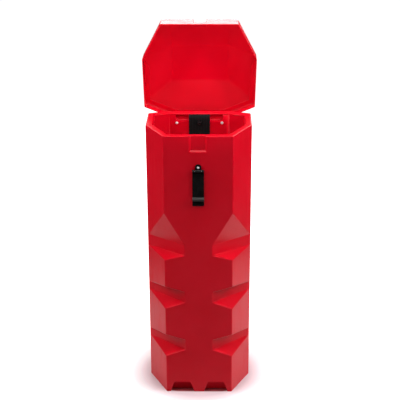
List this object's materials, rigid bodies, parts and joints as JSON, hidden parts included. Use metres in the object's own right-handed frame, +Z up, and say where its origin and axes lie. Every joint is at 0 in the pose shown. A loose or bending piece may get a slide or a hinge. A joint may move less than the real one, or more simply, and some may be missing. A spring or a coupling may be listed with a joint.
{
  "type": "fire blanket container",
  "caption": "Upright red plastic container for a large fire blanket, with a rear-hinged lid held by a rubber draw latch and the folded blanket inside.",
  "frame": {"origin": "centre of the base, at floor level", "axes": "+Z up; -Y towards the front with the latch; +X to the right for someone who faces the front"},
  "size_m": [0.444, 0.504, 1.404],
  "materials": {
    "red_plastic": "satin moulded polyethylene",
    "stainless": "brushed",
    "black_steel": "satin black",
    "black_rubber": "matt",
    "black_webbing": "woven webbing",
    "fire_cloth": "coated woven glass cloth"
  },
  "bodies": {
    "container": {"outer_shell": "red_plastic", "inner_liner": "red_plastic", "hinge_body_leaf": "stainless", "hinge_pin": "stainless", "hinge_body_screws": "stainless", "hinge_body_washers": "stainless", "hinge_body_nuts": "stainless", "strap_screw": "black_steel", "strap_washer": "black_steel", "lift_strap": "black_webbing", "latch_bracket": "black_steel", "latch_rivet": "stainless", "latch_pin": "stainless"},
    "lid": {"lid_shell": "red_plastic", "hinge_lid_leaf": "stainless", "hinge_lid_screws": "stainless", "hinge_lid_washers": "stainless", "hinge_lid_nuts": "stainless"},
    "latch": {"latch_strap": "black_rubber"},
    "blanket": {"fire_blanket": "fire_cloth", "blanket_handles": "black_webbing"}
  },
  "joints": [
    {"name": "lid_hinge", "type": "hinge", "parent": "container", "child": "lid", "pos_m": [0, 0.1915, 1.0225], "axis": [1, 0, 0], "range_deg": [0, 90]},
    {"name": "latch_pivot", "type": "hinge", "parent": "container", "child": "latch", "pos_m": [0, -0.178, 0.9325], "axis": [-1, 0, 0], "range_deg": [0, 169.5]},
    {"name": "blanket_lift", "type": "slide", "parent": "container", "child": "blanket", "axis": [0, 0, 1], "range_m": [0, 0.165]}
  ]
}
